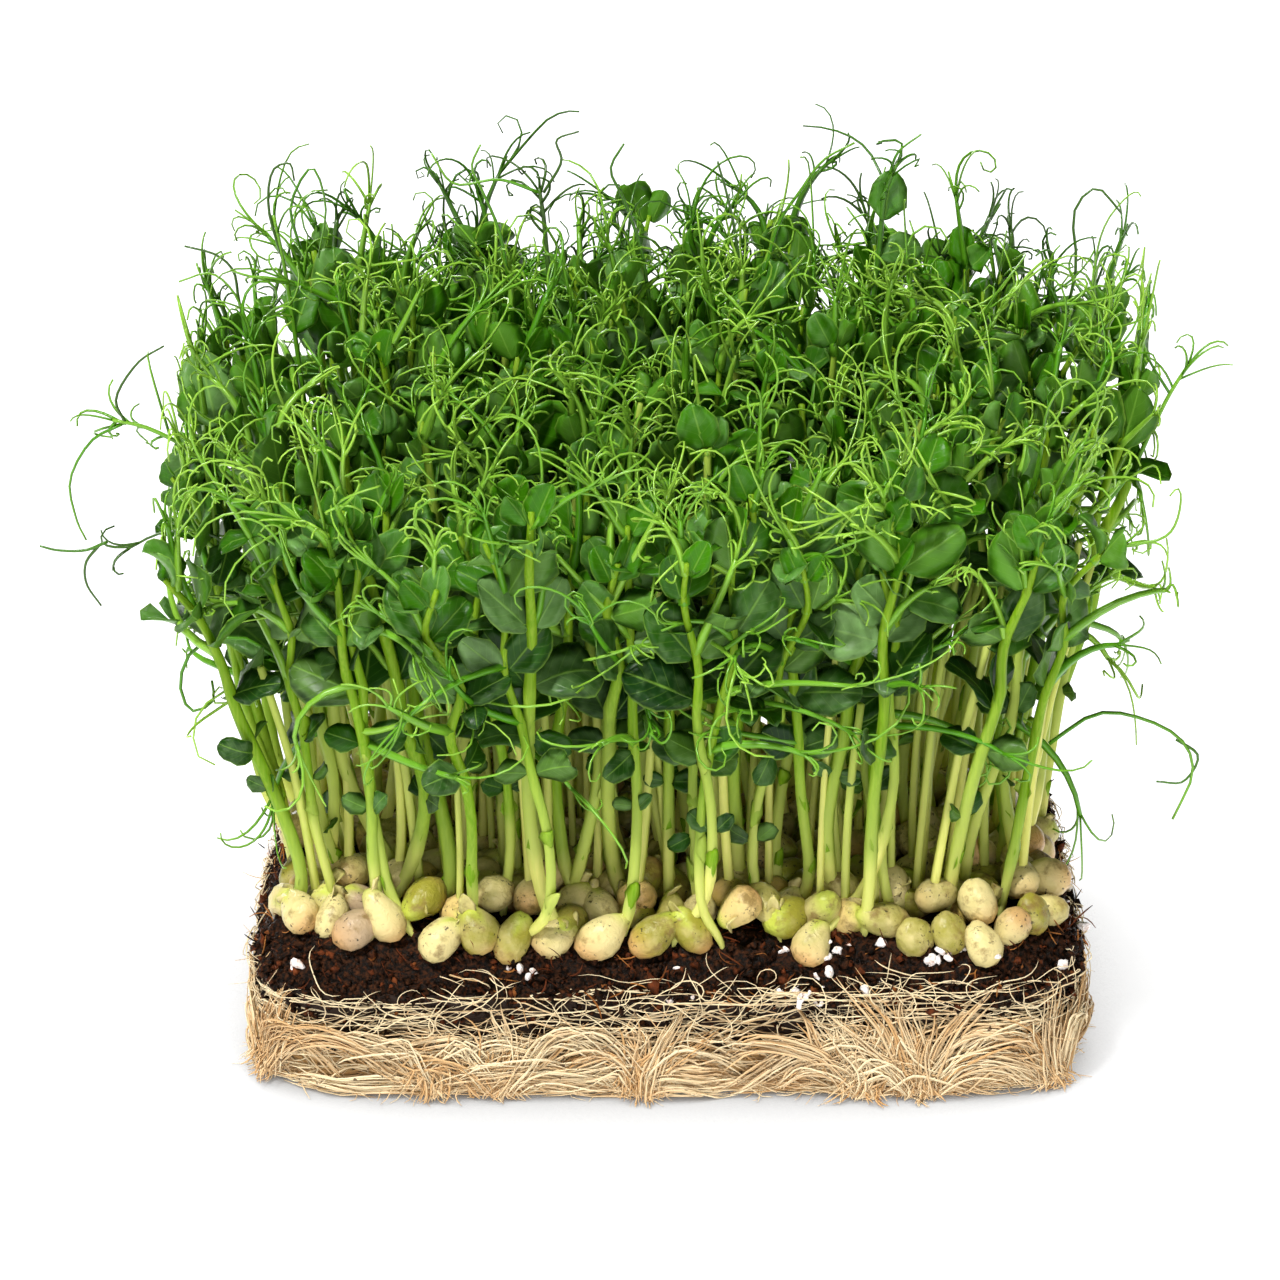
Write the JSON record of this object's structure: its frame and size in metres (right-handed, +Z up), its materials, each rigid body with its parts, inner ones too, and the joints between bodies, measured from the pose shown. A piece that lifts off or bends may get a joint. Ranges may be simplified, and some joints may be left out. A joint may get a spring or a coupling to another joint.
{
  "type": "living pea shoot slab",
  "caption": "Root-bound rounded slab of growing medium, lifted out of its tray, with sprouted peas and tall leafy pea shoots that end in curling tendrils.",
  "frame": {"origin": "centre of the slab's flat underside", "axes": "+Z up along the stems, +X along the slab's long side to the right, -Y to the front"},
  "size_m": [0.2548, 0.1908, 0.1884],
  "materials": {
    "soil": "damp crumbly growing medium",
    "roots": "matte felt of fine roots",
    "seed": "satin seed coat",
    "stem": "satin plant skin",
    "leaf": "satin leaf"
  },
  "bodies": {
    "root": {"root_mat": "roots", "soil_block": "soil", "pea_seed_01": "seed", "stem_01": "stem", "leafy_top_01": "leaf", "pea_seed_02": "seed", "stem_02": "stem", "leafy_top_02": "leaf", "pea_seed_03": "seed", "stem_03": "stem", "leafy_top_03": "leaf", "pea_seed_04": "seed", "stem_04": "stem", "leafy_top_04": "leaf", "pea_seed_05": "seed", "stem_05": "stem", "leafy_top_05": "leaf", "pea_seed_06": "seed", "stem_06": "stem", "leafy_top_06": "leaf", "pea_seed_07": "seed", "stem_07": "stem", "leafy_top_07": "leaf", "pea_seed_08": "seed", "stem_08": "stem", "leafy_top_08": "leaf", "pea_seed_09": "seed", "stem_09": "stem", "leafy_top_09": "leaf", "pea_seed_10": "seed", "stem_10": "stem", "leafy_top_10": "leaf", "pea_seed_11": "seed", "stem_11": "stem", "leafy_top_11": "leaf", "pea_seed_12": "seed", "stem_12": "stem", "leafy_top_12": "leaf", "pea_seed_13": "seed", "stem_13": "stem", "leafy_top_13": "leaf", "pea_seed_14": "seed", "stem_14": "stem", "leafy_top_14": "leaf", "pea_seed_15": "seed", "stem_15": "stem", "leafy_top_15": "leaf", "pea_seed_16": "seed", "stem_16": "stem", "leafy_top_16": "leaf", "pea_seed_17": "seed", "stem_17": "stem", "leafy_top_17": "leaf", "pea_seed_18": "seed", "stem_18": "stem", "leafy_top_18": "leaf"}
  },
  "joints": []
}
